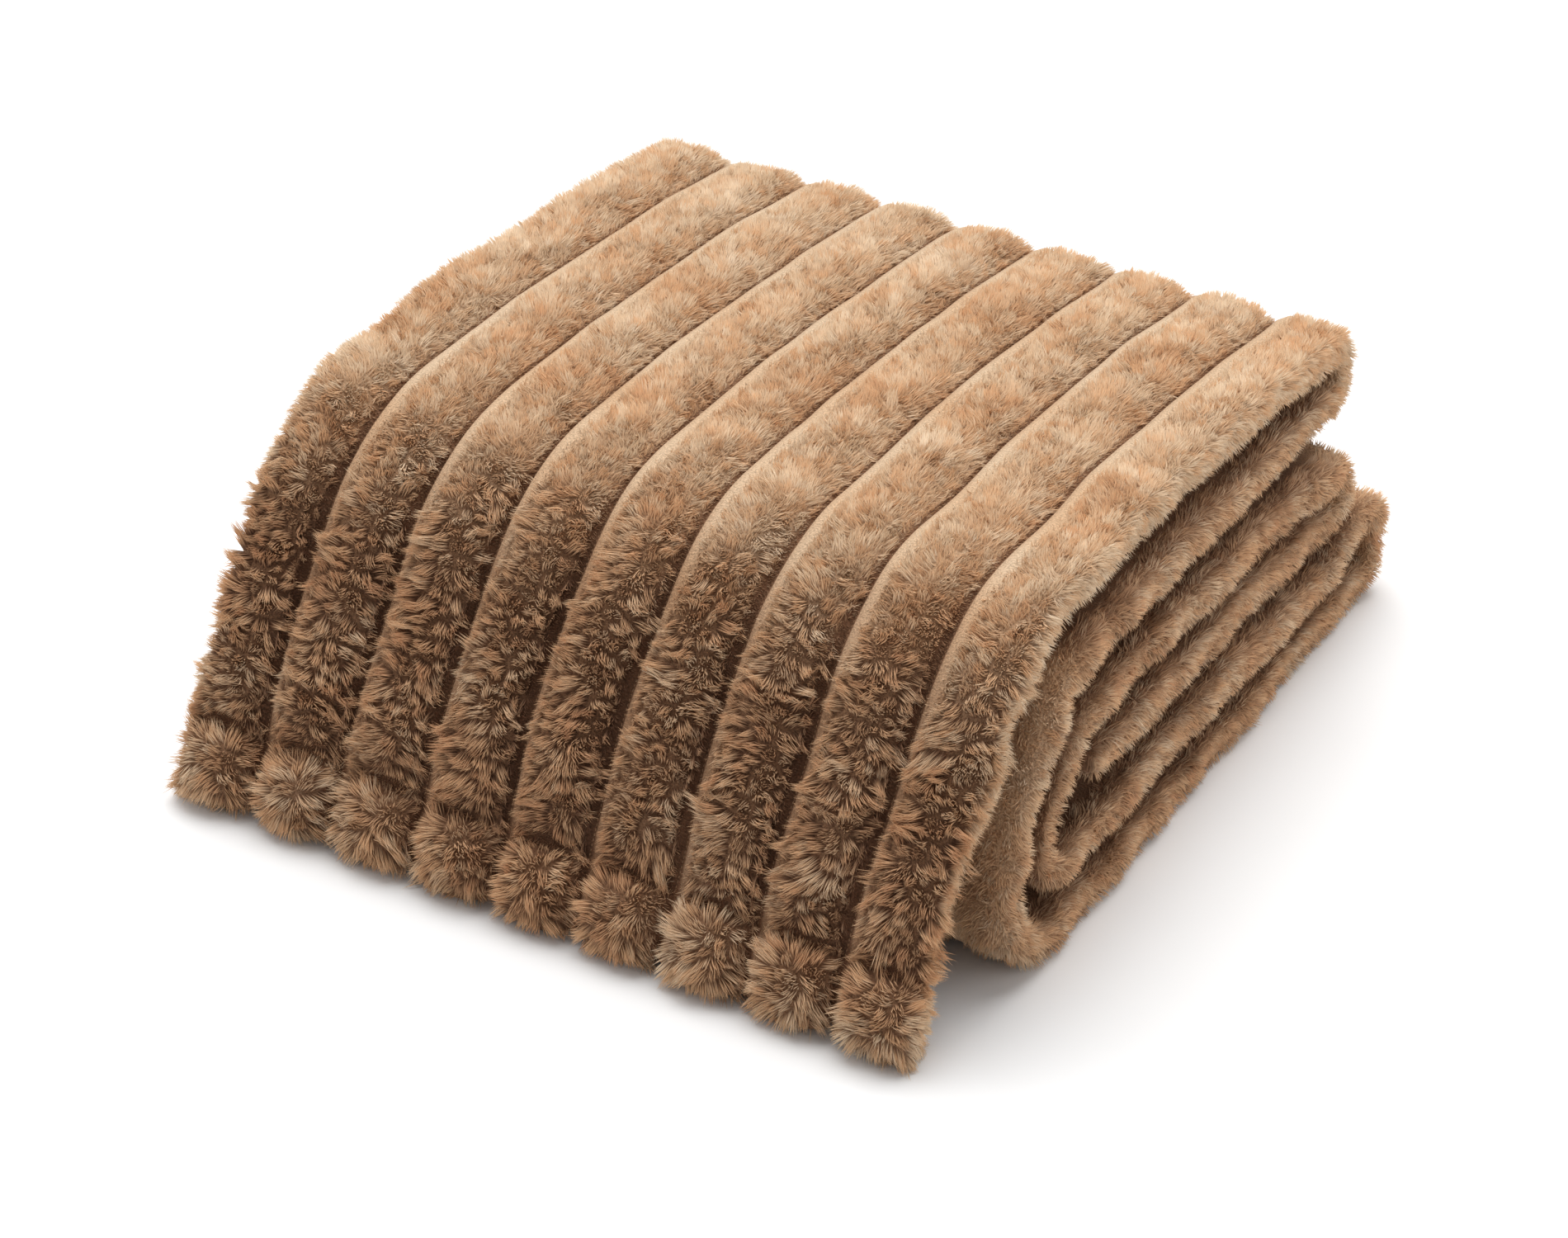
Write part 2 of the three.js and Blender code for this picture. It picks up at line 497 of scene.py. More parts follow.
    def pile(self, along: Array, across: Array, rise: Array) -> Array:
        """How deep the pile stands: short in the seams and at the sides, long on the tufts.

        Args:
            along: Distances from the hem tip, in millimetres.
            across: Places across the cloth, in millimetres.
            rise: 1 on the face, -1 on the back, between at the sides.

        Returns:
            The depth, in millimetres.
        """
        tufted = self.tufted(along)
        crest = mix(self.flap_pile, self.crest_pile, self.on_top(along))
        crest = mix(crest, self.tuft_pile, tufted)
        bend = self.path.corner_along["upper bend under"]
        hidden = smooth((along - bend - self.hidden_from) / self.hidden_fade)
        crest = mix(crest, self.hidden_pile, hidden)
        crest = mix(crest, self.sleek_pile, self.sleek(along, across) * (1 - tufted))
        full = mix(self.seam_pile, crest, self.opening(along, across))
        return full * mix(self.side_pile, 1, np.abs(rise))

    def tone(self, along: Array, girth: Array) -> Array:
        """The plush's tone: in patches, darker on the drape, at the sides and in the seams.

        The paler top and sleek flanks are painted light; the darkening is partly painted shade
        and partly the cloth's own darker tone.

        Args:
            along: Distances from the hem tip, in millimetres.
            girth: Places round the layer, in millimetres.

        Returns:
            The tone, from russet at 0 to cream at 1.
        """
        across, rise = self.around(girth)
        sleek, on_top = self.sleek(along, across), self.on_top(along)
        seam = (1 - self.opening(along, across)) * (1 - sleek)
        patches = self.tone_patch_depth * self.tone_patch.at(along, girth)
        # Random patches, and painted light: a little paler on top.
        tone = self.tone_middle + patches + self.top_painted_light * on_top
        # Partly painted shade, partly the cloth's darker tone: on the folded layers and on the
        # drape.
        inner = self.layered(along) * (1 - self.face_paler * rise**2)
        hanging = (1 - on_top) * (1 - self.tuft_paler * self.tufted(along)) * rise**2
        tone = tone - self.layer_tone_and_shade * inner - self.drape_tone_and_shade * hanging
        # Seams: partly the bare knit's darker tone, partly painted shade in the crease, deeper on
        # the drape.
        valley = (self.seam_tone_and_shade + self.drape_seam_shade * hanging) * seam
        # Painted highlight: paler on the sleek flanks.
        return tone + self.sleek_painted_highlight * sleek - valley

    def skin(self, along: Array, girth: Array) -> Array:
        """Places on the cloth's ground, under the pile.

        Args:
            along: Distances from the hem tip, in millimetres.
            girth: Places round the layer, in millimetres.

        Returns:
            The points, in metres, in the part's frame.
        """
        along, girth = np.broadcast_arrays(along, girth)
        across, rise = self.around(girth)
        place, heading, drift, loft = self.path.read(along)
        normal = np.stack([-heading[..., 1], heading[..., 0]], -1)
        full, share = self.fullness(across), self.share(along) * loft
        face = (self.half_thickness - self.face_relief * (1 - full)) * share
        lowest = place[..., 1] - self.half_thickness * share * np.abs(normal[..., 1])
        loose = smooth(lowest / self.pressed_height)
        back = (self.half_thickness - self.back_relief * (1 - full) * loose) * share
        under = rise < 0
        lumps = self.lump.at(along, across + np.where(under, 2 * self.width, 0.0))
        kept = np.where(under, mix(self.pressed_pile, 1, loose), 1.0)
        dip = self.seam_dip * np.exp(-((self.from_seam(across) / self.seam_dip_width) ** 2))
        sunk = (self.pile(along, across, rise) + dip * ~under) * kept
        ground = np.where(under, back, face) - sunk + self.lump_height * lumps * full
        ground = ground - self.dent_depth * self.dent(along, across) * ~under
        tip = np.minimum(along, self.path.length - along) / self.nose
        closing = np.sqrt(1 - (1 - np.clip(tip, 0, 1)) ** 2)
        right = across > self.width / 2
        wander = self.wander.at(along, np.where(right, 0.0, self.wander_apart))
        swollen = 1 + self.swell * wander * (1 - rise**2)
        offset = np.maximum(ground, self.least_ground) * rise * closing * swollen
        setback = self.valley_setback * np.clip(1 - along / self.tuft_length, 0, 1) * (1 - full)
        spot = place + normal * offset[..., None] + heading * setback[..., None]
        hollow = self.wander_depth * (0.5 - 0.5 * wander) * (1 - rise**2)
        x = across + drift + self.waver_width * self.waver.at(along, across)
        x = x - np.where(right, hollow, -hollow)
        z = np.maximum(spot[..., 1], FLOOR_GAP)
        return np.stack([x, spot[..., 0], z], -1) * MM + self.shift()

    def shift(self) -> Array:
        """Reads from the solid's box where the section stands in the part's frame.

        Returns:
            The move from the section's own corner, in metres.
        """
        low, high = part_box(CLOTH_NODE)
        rear = max(corner.y for corner in FOLDS) + self.half_thickness
        return np.array([low[0] + self.side_bulge * MM, high[1] - rear * MM, 0.0])

    def stand(self, along: Array, girth: Array) -> tuple[Array, ...]:
        """Stands a small frame on the ground at each place.

        Args:
            along: Distances from the hem tip, in millimetres.
            girth: Places round the layer, in millimetres.

        Returns:
            The points, and the directions along, around and outwards there.
        """
        small = 0.8
        point = self.skin(along, girth)
        ahead = unit(self.skin(along + small, girth) - self.skin(along - small, girth))
        beside = unit(self.skin(along, girth + small) - self.skin(along, girth - small))
        out = unit(np.cross(beside, ahead))
        return point, ahead, unit(np.cross(ahead, out)), out


def node(tree: NodeTree, kind: str, inputs: Inputs | None = None, **settings: object) -> Node:
    """Adds a shader node.

    Args:
        tree: The nodes that it joins.
        kind: Its type, without the ShaderNode in front.
        inputs: For each input, its value or the socket that feeds it.
        settings: The node's own settings, which are made first.

    Returns:
        The new node.
    """
    made = tree.nodes.new("ShaderNode" + kind)
    for setting, value in settings.items():
        setattr(made, setting, value)
    for name, given in (inputs or {}).items():
        if isinstance(given, NodeSocket):
            tree.links.new(given, made.inputs[name])
        else:
            made.inputs[name].default_value = given
    return made


def ramp(tree: NodeTree, stops: Stops, source: NodeSocket) -> NodeSocket:
    """Adds a colour ramp.

    Args:
        tree: The nodes that it joins.
        stops: The place and colour of each stop.
        source: What it reads.

    Returns:
        The socket that gives the colour.
    """
    made = node(tree, "ValToRGB", {"Fac": source})
    elements = made.color_ramp.elements
    while len(elements) < len(stops):
        elements.new(0.5)
    for element, (place, colour) in zip(elements, stops, strict=True):
        element.position = place
        element.color = (*colour, 1.0)
    return made.outputs["Color"]


@dataclass(frozen=True)
class PlushGroup:
    """The plush's colour, shared by hairs, ground and thread: russet, tan and cream in streaks."""

    name: str = "Plush colour"
    roots: Stops = (
        (0.0, (0.110, 0.053, 0.030)),
        (0.5, (0.200, 0.098, 0.053)),
        (1.0, (0.300, 0.160, 0.088)),
    )
    tips: Stops = (
        (0.0, (0.600, 0.320, 0.168)),
        (0.35, (0.690, 0.428, 0.240)),
        (0.65, (0.745, 0.562, 0.382)),
        (1.0, (0.820, 0.670, 0.505)),
    )
    root_end: float = 0.13
    tip_start: float = 0.8
    detail: float = 2.0
    least_streak: float = 0.3
    most_streak: float = 0.7
    sockets: tuple[tuple[str, str, str], ...] = (
        ("Tone", "INPUT", "Float"),
        ("Height", "INPUT", "Float"),
        ("Depth", "INPUT", "Float"),
        ("Vector", "INPUT", "Vector"),
        ("Colour", "OUTPUT", "Color"),
        ("Streak", "OUTPUT", "Float"),
    )

    def tree(self) -> NodeTree:
        """Makes the node group at its first use.

        Returns:
            The group.
        """
        found = bpy.data.node_groups.get(self.name)
        if found:
            return found
        tree = bpy.data.node_groups.new(self.name, "ShaderNodeTree")
        for socket, way, kind in self.sockets:
            tree.interface.new_socket(socket, in_out=way, socket_type="NodeSocket" + kind)
        inside = tree.nodes.new("NodeGroupInput").outputs
        outside = tree.nodes.new("NodeGroupOutput").inputs
        root, tip = (ramp(tree, stops, inside["Tone"]) for stops in (self.roots, self.tips))
        limits = {"From Min": self.root_end, "From Max": self.tip_start}
        inputs = {"Value": inside["Height"], **limits}
        height = node(tree, "MapRange", inputs, interpolation_type="SMOOTHSTEP")
        inputs = {"Factor": height.outputs["Result"], "A": root, "B": tip}
        plain = node(tree, "Mix", inputs, data_type="RGBA").outputs["Result"]
        inputs = {"Vector": inside["Vector"], "Scale": 1.0, "Detail": self.detail}
        noise = node(tree, "TexNoise", inputs).outputs["Fac"]
        limits = {"From Min": self.least_streak, "From Max": self.most_streak}
        streak = node(tree, "MapRange", {"Value": noise, **limits}).outputs["Result"]
        centred = node(tree, "Math", {0: streak, 1: 0.5}, operation="SUBTRACT").outputs["Value"]
        inputs = {0: centred, 1: inside["Depth"], 2: 1.0}
        scaled = node(tree, "Math", inputs, operation="MULTIPLY_ADD").outputs["Value"]
        streaked = node(tree, "VectorMath", {0: plain, "Scale": scaled}, operation="SCALE")
        tree.links.new(streaked.outputs["Vector"], outside["Colour"])
        tree.links.new(streak, outside["Streak"])
        return tree


@dataclass(frozen=True)
class Finish:
    """What every finish shares: a material, its gloss and sheen, and the plush's colour."""

    name: str
    roughness: float
    specular: float
    sheen: float = 0.0
    sheen_roughness: float = 0.5
    sheen_tint: Triple = (0.95, 0.68, 0.45)

    def blank(self) -> tuple[Material, Node]:
        """Starts a material with this finish's gloss and sheen.

        Returns:
            The material and its shader.
        """
        material = bpy.data.materials.new(self.name)
        material.use_nodes = True
        shader = material.node_tree.nodes["Principled BSDF"]
        shader.inputs["Roughness"].default_value = self.roughness
        shader.inputs["Specular IOR Level"].default_value = self.specular
        if self.sheen:
            shader.inputs["Sheen Weight"].default_value = self.sheen
            shader.inputs["Sheen Roughness"].default_value = self.sheen_roughness
            shader.inputs["Sheen Tint"].default_value = (*self.sheen_tint, 1.0)
        return material, shader

    @staticmethod
    def plush(shader: Node, places: NodeSocket, scale: Triple, inputs: Inputs) -> Node:
        """Feeds the shader's colour from the shared plush colour.

        Args:
            shader: The material's shader.
            places: The map that the streaks follow.
            scale: How the streaks are stretched on the map.
            inputs: The group's Tone, Height and Depth.

        Returns:
            The group's node.
        """
        tree = shader.id_data
        stretched = node(tree, "Mapping", {"Vector": places, "Scale": scale}).outputs["Vector"]
        plush = node(tree, "Group", {**inputs, "Vector": stretched}, node_tree=PlushGroup().tree())
        tree.links.new(plush.outputs["Colour"], shader.inputs["Base Color"])
        return plush


@dataclass(frozen=True)
class PileFinish(Finish):
    """Plush hairs, darker at the root and paler at the tip.

    The map holds the tone of a hair from left to right and its height from root to tip.
    """

    name: str = "Plush pile"
    roughness: float = 0.65
    specular: float = 0.15
    sheen: float = 0.15
    streak_scale: Triple = (260.0, 3.0, 1.0)
    streak_depth: float = 0.2

    def material(self) -> Material:
        """Makes the finish.

        Returns:
            The material.
        """
        material, shader = self.blank()
        tree = material.node_tree
        places = node(tree, "UVMap", uv_map=BAKE_MAP).outputs["UV"]
        split = node(tree, "SeparateXYZ", {"Vector": places}).outputs
        inputs = {"Tone": split["X"], "Height": split["Y"], "Depth": self.streak_depth}
        self.plush(shader, places, self.streak_scale, inputs)
        return material


@dataclass(frozen=True)
class GroundFinish(Finish):
    """The dense underfur in soft lumps, and the fine knit where the seams lay it bare."""

    name: str = "Plush ground"
    roughness: float = 0.85
    specular: float = 0.1
    sheen: float = 0.2
    grain_scale: Triple = (900.0, 900.0, 1.0)
    grain_depth: float = 0.55
    lump_scale: float = 170.0
    lump_share: float = 2.5
    relief: float = 0.0008
    relief_strength: float = 0.6

    def material(self) -> Material:
        """Makes the finish.

        Returns:
            The material.
        """
        material, shader = self.blank()
        tree = material.node_tree
        places = node(tree, "UVMap", uv_map=WEAVE_MAP).outputs["UV"]
        inputs = {"Depth": self.grain_depth}
        for attribute, socket in ((TONE, "Tone"), (HEIGHT, "Height")):
            painted = node(tree, "Attribute", attribute_name=attribute)
            inputs[socket] = painted.outputs["Fac"]
        streak = self.plush(shader, places, self.grain_scale, inputs).outputs["Streak"]
        lumps = node(tree, "TexNoise", {"Scale": self.lump_scale, "Vector": places}).outputs["Fac"]
        inputs = {0: lumps, 1: self.lump_share, 2: streak}
        raised = node(tree, "Math", inputs, operation="MULTIPLY_ADD").outputs["Value"]
        inputs = {"Strength": self.relief_strength, "Distance": self.relief, "Height": raised}
        bump = node(tree, "Bump", inputs)
        tree.links.new(bump.outputs["Normal"], shader.inputs["Normal"])
        return material


@dataclass(frozen=True)
class ThreadFinish(Finish):
    """The thread of the seams, twisted, and darker than the plush."""

    name: str = "Seam thread"
    roughness: float = 0.7
    specular: float = 0.2
    tone: float = 0.3
    height: float = 0.4
    twist_scale: Triple = (6.0, 2.0, 1.0)
    twist_depth: float = 0.6

    def material(self) -> Material:
        """Makes the finish.

        Returns:
            The material.
        """
        material, shader = self.blank()
        places = node(material.node_tree, "UVMap", uv_map=BAKE_MAP).outputs["UV"]
        inputs = {"Tone": self.tone, "Height": self.height, "Depth": self.twist_depth}
        self.plush(shader, places, self.twist_scale, inputs)
        return material


@dataclass(frozen=True)
class FloorFinish(Finish):
    """A plain pale floor."""

    name: str = "Pale floor"
    roughness: float = 0.8
    specular: float = 0.1
    colour: Triple = (0.9, 0.9, 0.9)

    def material(self) -> Material:
        """Makes the finish.

        Returns:
            The material.
        """
        material, shader = self.blank()
        shader.inputs["Base Color"].default_value = (*self.colour, 1.0)
        return material


def placed(data: ID) -> Object:
    """Puts a mesh, a light or a camera in the scene.

    Args:
        data: What is placed, with its name.

    Returns:
        The object, of the same name.
    """
    piece = bpy.data.objects.new(data.name, data)
    bpy.context.scene.collection.objects.link(piece)
    return piece


def finished(mesh: bmesh.types.BMesh, name: str, material: Material) -> Object:
    """Turns a bmesh into an object in the scene.

    Args:
        mesh: The shape, which is freed.
        name: The piece's name.
        material: What it is made of.

    Returns:
        The new object.
    """
    data = bpy.data.meshes.new(name)
    mesh.to_mesh(data)
    mesh.free()
    data.materials.append(material)
    return placed(data)


def joined(name: str, corners: Array, faces: Array, places: Array, material: Material) -> Object:
    """Joins many small shapes of triangles into one piece.

    Args:
        name: The piece's name.
        corners: The points of each small shape.
        faces: The three points of each face of one small shape.
        places: The map's place for each corner of each face, in order.
        material: What it is made of.

    Returns:
        The new object.
    """
    first = np.arange(len(corners))[:, None, None] * corners.shape[1]
    data = bpy.data.meshes.new(name)
    data.from_pydata(corners.reshape(-1, 3), [], (first + faces[None]).reshape(-1, 3))
    data.materials.append(material)
    data.uv_layers.new(name=BAKE_MAP).uv.foreach_set("vector", places.ravel())
    return placed(data)


@dataclass
class ClothGround:
    """The cloth under the pile: a closed sheet on the folds, sewn into channels."""

    shape: ClothShape
    finish: GroundFinish = field(default_factory=GroundFinish)
    places: tuple[float, ...] = (0.0, 0.06, 0.16, 0.32, 0.5, 0.68, 0.84, 0.94)
    side_pieces: int = 6
    shown_step: float = 6.0
    hidden_step: float = 30.0
    bend_angle: float = 12.0
    end_rows: tuple[float, ...] = (0.0, 0.7, 2.2)
    end_reach: float = 4.0
    edge_gap: float = 1.0
    sewn_within: float = 1e-6
    # Low in the seams: partly the bare knit's own darker tone, partly painted shade in the crease.
    seam_height: float = 0.05
    crest_height: float = 0.5
    # Painted shade: the ground reads darker on the drape, on its sleek flanks too.
    drape_shaded_height: float = 0.29
    sleek_height: float = 0.62
    sleek_drape_shaded_height: float = 0.42
    gap_shade: float = 0.6

    def columns(self) -> Array:
        """Spaces the sheet's lines of points round the layer.

        Returns:
            Their places, in millimetres, from the face's left edge round to it again.
        """
        shape = self.shape
        near, far = shape.inner + self.edge_gap, shape.width - shape.inner - self.edge_gap
        across = [(c + p) * shape.pitch for c in range(shape.channels) for p in self.places]
        face = [0.0, *(a - shape.inner for a in across if near < a < far), shape.face_girth]
        side = [shape.side_girth * k / self.side_pieces for k in range(1, self.side_pieces)]
        half = face + [shape.face_girth + s for s in side]
        other = shape.face_girth + shape.side_girth
        return np.array(half + [other + g for g in half] + [shape.girth])

    def rows(self) -> Array:
        """Spaces the sheet's lines of points along the cloth, closer at the bends and ends.

        Returns:
            Their distances from the hem tip, in millimetres.
        """
        path = self.shape.path
        shown = path.corner_along["upper bend under"]
        turn = np.unwrap(np.arctan2(path.headings[:, 1], path.headings[:, 0]))
        turned = np.concatenate([[0.0], np.cumsum(np.abs(np.diff(turn)))])
        step = np.where(path.along < shown, self.shown_step, self.hidden_step)
        need = np.cumsum(1.0 / step) + turned / math.radians(self.bend_angle)
        count = int(math.ceil(need[-1]))
        rows = np.interp(np.linspace(need[0], need[-1], count), need, path.along)
        inner = rows[(rows > self.end_reach) & (rows < path.length - self.end_reach)]
        ends = np.array(self.end_rows)
        return np.concatenate([ends, inner, path.length - ends[::-1]])

    def heights(self, along: Array, girth: Array) -> Array:
        """How far up its hairs the ground reads as: low in the seams, high where it lies sleek.

        Lower on the drape is painted shade, and low in the seams is partly painted shade in the
        crease and partly the bare knit's darker tone.

        Args:
            along: Distances from the hem tip, in millimetres.
            girth: Places round the layer, in millimetres.

        Returns:
            The height, from 0 at the hairs' roots to 1 at their tips.
        """
        across, rise = self.shape.around(girth)
        on_top = self.shape.on_top(along)
        # Painted shade: lower, so darker, on the drape.
        crest = mix(self.drape_shaded_height, self.crest_height, on_top)
        smoothed = mix(self.sleek_drape_shaded_height, self.sleek_height, on_top)
        crest = mix(crest, smoothed, self.shape.sleek(along, across))
        crest = crest * (1 - self.gap_shade * self.shape.pressed(along) * rise**4)
        # Low in the seams: partly the bare knit's darker tone, partly painted shade in the crease.
        return mix(self.seam_height, crest, self.shape.opening(along, across))

    def build(self) -> Object:
        """Makes the sheet as a grid that is rolled into a tube and sewn shut at both ends.

        Returns:
            The finished piece.
        """
        rows, columns = self.rows(), self.columns()
        mesh = bmesh.new()
        bake = mesh.loops.layers.uv.new(BAKE_MAP)
        weave = mesh.loops.layers.uv.new(WEAVE_MAP)
        tone = mesh.verts.layers.float.new(TONE)
        height = mesh.verts.layers.float.new(HEIGHT)
        last_column, last_row = len(columns) - 1, len(rows) - 1
        bmesh.ops.create_grid(mesh, x_segments=last_column, y_segments=last_row, size=0.5)
        mesh.verts.ensure_lookup_table()
        flat = np.array([v.co[:2] for v in mesh.verts]) + 0.5
        girth = columns[np.rint(flat[:, 0] * last_column).astype(int)]
        along = rows[np.rint(flat[:, 1] * last_row).astype(int)]
        maps = np.stack([girth * MM, along * MM], 1)
        for face in mesh.faces:
            face.smooth = True
            for loop in face.loops:
                index = loop.vert.index
                loop[bake].uv = flat[index]
                loop[weave].uv = maps[index]
        points = self.shape.skin(along, girth)
        tones, heights = self.shape.tone(along, girth), self.heights(along, girth)
        for vertex, point, shade, level in zip(mesh.verts, points, tones, heights, strict=True):
            vertex.co = point
            vertex[tone] = shade
            vertex[height] = level
        bmesh.ops.remove_doubles(mesh, verts=mesh.verts, dist=self.sewn_within)
        bmesh.ops.recalc_face_normals(mesh, faces=mesh.faces)
        return finished(mesh, "throw_ground", self.finish.material())


class Patch(NamedTuple):
    """A stretch of the cloth that bears pile, from and to in millimetres."""

    along_from: float
    along_to: float
    girth_from: float
    girth_to: float

    @property
    def area(self) -> float:
        """The patch's size in square millimetres."""
        return (self.along_to - self.along_from) * (self.girth_to - self.girth_from)


@dataclass(frozen=True)
class Locks:
    """How hairs gather into locks: seeded, jittered centres, each with five traits.

    The traits are its lean along and around, its height, its swirl and its tone.
    """

    seed: int = 11
    spacing: float = 5.6
    lattice: int = 211
    traits: int = 5
    jitter: tuple[float, float] = (0.1, 0.9)

    def nearest(self, along: Array, girth: Array) -> tuple[Array, Array]:
        """Finds the lock that each hair belongs to.

        Args:
            along: Where the hairs root, along the cloth.
            girth: Where they root, round the layer.

        Returns:
            The way from each root to its lock's centre, and the lock's traits from -1 to 1.
        """
        rng = np.random.default_rng(self.seed)
        jitter = rng.uniform(*self.jitter, (self.lattice, self.lattice, 2))
        traits = rng.uniform(-1, 1, (self.lattice, self.lattice, self.traits))
        roots = np.stack([along, girth], -1)
        cell = np.floor(roots / self.spacing).astype(int)
        best = np.full(len(along), np.inf)
        way = np.zeros((len(along), 2))
        kept = np.zeros((len(along), self.traits))
        for i in (-1, 0, 1):
            for j in (-1, 0, 1):
                near = cell + (i, j)
                at = near % self.lattice
                centre = (near + jitter[at[:, 0], at[:, 1]]) * self.spacing
                step = centre - roots
                far = (step**2).sum(-1)
                closer = far < best
                best = np.where(closer, far, best)
                way[closer] = step[closer]
                kept[closer] = traits[at[:, 0], at[:, 1]][closer]
        return way, kept


class Bed(NamedTuple):
    """Where hairs root, in millimetres, and what the cloth is like there, in shares of one."""

    along: Array
    girth: Array
    across: Array
    rise: Array
    opening: Array
    sleek: Array
    tufted: Array
    upper: Array
    loose: Array


@dataclass
class Pile:
    """One stretch of pile: straight, tapered hairs, rooted in the ground and drawn into locks."""

    name: str
    shape: ClothShape
    patches: tuple[Patch, ...]
    hairs: int
    seed: int
    locks: Locks = field(default_factory=Locks)
    sleek_bare: float = 0.9
    sleek_calm: float = 0.8
    tuft_calm: float = 0.15
    least_loose: float = 0.15
    hair_width: float = 1.0
    width_spread: float = 0.3
    steadying: float = 1e-4
    stand_tall: float = 0.88
    softness: float = 0.55
    softness_upright: float = 0.4
    upright: float = 0.75
    sink: float = 1.0
    part_top: float = 0.25
    part_flap: float = 0.95
    part_tuft: float = 0.6
    part_width: float = 10.0
    part_noise: SoftNoise = SoftNoise(seed=41, cell=19.0)
    part_waver: float = 5.0
    part_apart: float = 87.0
    droop: float = 0.3
    sways: tuple[SoftNoise, ...] = (SoftNoise(seed=21, cell=15.0), SoftNoise(seed=22, cell=15.0))
    sway_top: float = 0.4
    sway_flap: float = 0.8
    lean_lock_top: float = 0.28
    lean_lock_flap: float = 0.36
    lean_hair: float = 0.2
    gather_top: float = 0.34
    gather_flap: float = 0.6
    gather_tuft: float = 0.66
    swirl: float = 0.7
    uneven_top: float = 0.25
    uneven_flap: float = 0.36
    uneven_hair: float = 0.18
    curl: float = 0.6
    tone_lock: float = 0.19
    tone_hair: float = 0.08
    tone_least: float = 0.02
    shade_lock: float = 0.22
    tone_width: float = 0.004
    # Painted shade: roots and tips sit lower on the map, so darker, on the drape and on the folded
    # layers.
    drape_shaded_root: float = 0.0
    root_top: float = 0.4
    layer_shaded_root: float = 0.32
    root_tuft: float = 0.2
    root_sleek: float = 0.3
    drape_shaded_tip: float = 0.95
    layer_shaded_tip: float = 0.85
    tip_sleek: float = 0.75
    short_tip: float = 0.3
    under_from: float = 0.2
    shaded_under: float = 0.25
    shaded_gap: float = 0.42
    shaded_flank: float = 0.45
    flank_width: float = 17.0

    def bed(self, rng: np.random.Generator) -> Bed:
        """Spreads the roots evenly over the patches, with none in seams or on sleek flanks.

        Args:
            rng: The stretch's random numbers.

        Returns:
            The roots, with what the cloth is like at each.
        """
        shape = self.shape
        spacing = math.sqrt(sum(p.area for p in self.patches) / self.hairs)
        along, girth = [], []
        for patch in self.patches:
            rows = max(1, round((patch.along_to - patch.along_from) / spacing))
            columns = max(1, round((patch.girth_to - patch.girth_from) / spacing))
            u, v = np.meshgrid(np.arange(rows), np.arange(columns), indexing="ij")
            u = (u.ravel() + rng.uniform(0, 1, u.size)) / rows
            v = (v.ravel() + rng.uniform(0, 1, v.size)) / columns
            along.append(mix(patch.along_from, patch.along_to, u))
            girth.append(mix(patch.girth_from, patch.girth_to, v))
        along, girth = np.concatenate(along), np.concatenate(girth)
        across, rise = shape.around(girth)
        opening, sleek = shape.opening(along, across), shape.sleek(along, across)
        tufted = shape.tufted(along)
        upper = np.maximum(shape.on_top(along), 1 - rise**2)
        loose = opening * (1 - self.sleek_calm * sleek) * (1 - self.tuft_calm * tufted)
        thinned = 1 - smooth(sleek / self.sleek_bare)
        kept = (opening > 0) & (rng.uniform(0, 1, len(along)) < thinned)
        bed = Bed(along, girth, across, rise, opening, sleek, tufted, upper, loose)
        return Bed(*(values[kept] for values in bed))

    def nap(self, bed: Bed) -> Array:
        """The way the pile lies, parted along each crest and from the middle of each tuft.

        Args:
            bed: Where the hairs root.

        Returns:
            How far each hair leans along the cloth and around it, for its height.
        """
        pitch = self.shape.pitch
        place = np.mod(bed.across, pitch) - pitch / 2
        channel = np.floor(bed.across / pitch)
        waver = self.part_waver * self.part_noise.at(bed.along, channel * self.part_apart)
        aside = np.clip((place - waver) / self.part_width, -1, 1)
        part = mix(self.part_flap, self.part_top, self.shape.on_top(bed.along))
        part = mix(part, self.part_tuft, bed.tufted)
        onward = np.clip(2 * bed.along / self.shape.tuft_length - 1, -1, 1)
        return np.stack([bed.tufted * self.part_tuft * onward, part * aside * bed.rise], -1)

    def lean(self, bed: Bed, traits: Array, rng: np.random.Generator) -> Array:
        """Leans each hair with the pile around it, with its lock and a little by itself.

        Args:
            bed: Where the hairs root.
            traits: The traits of their locks.
            rng: The stretch's random numbers.

        Returns:
            How far each hair leans along the cloth and around it, for its height.
        """
        drift = np.stack([noise.at(bed.along, bed.girth) for noise in self.sways], -1)
        sway = mix(self.sway_flap, self.sway_top, bed.upper)[:, None]
        locked = mix(self.lean_lock_flap, self.lean_lock_top, bed.upper)[:, None]
        lean = sway * drift + locked * traits[:, :2]
        lean = lean + self.lean_hair * rng.uniform(-1, 1, lean.shape)
        lean = lean * mix(self.least_loose, 1, bed.loose[:, None])
        return lean + self.nap(bed) * (1 - self.sleek_calm * bed.sleek)[:, None]

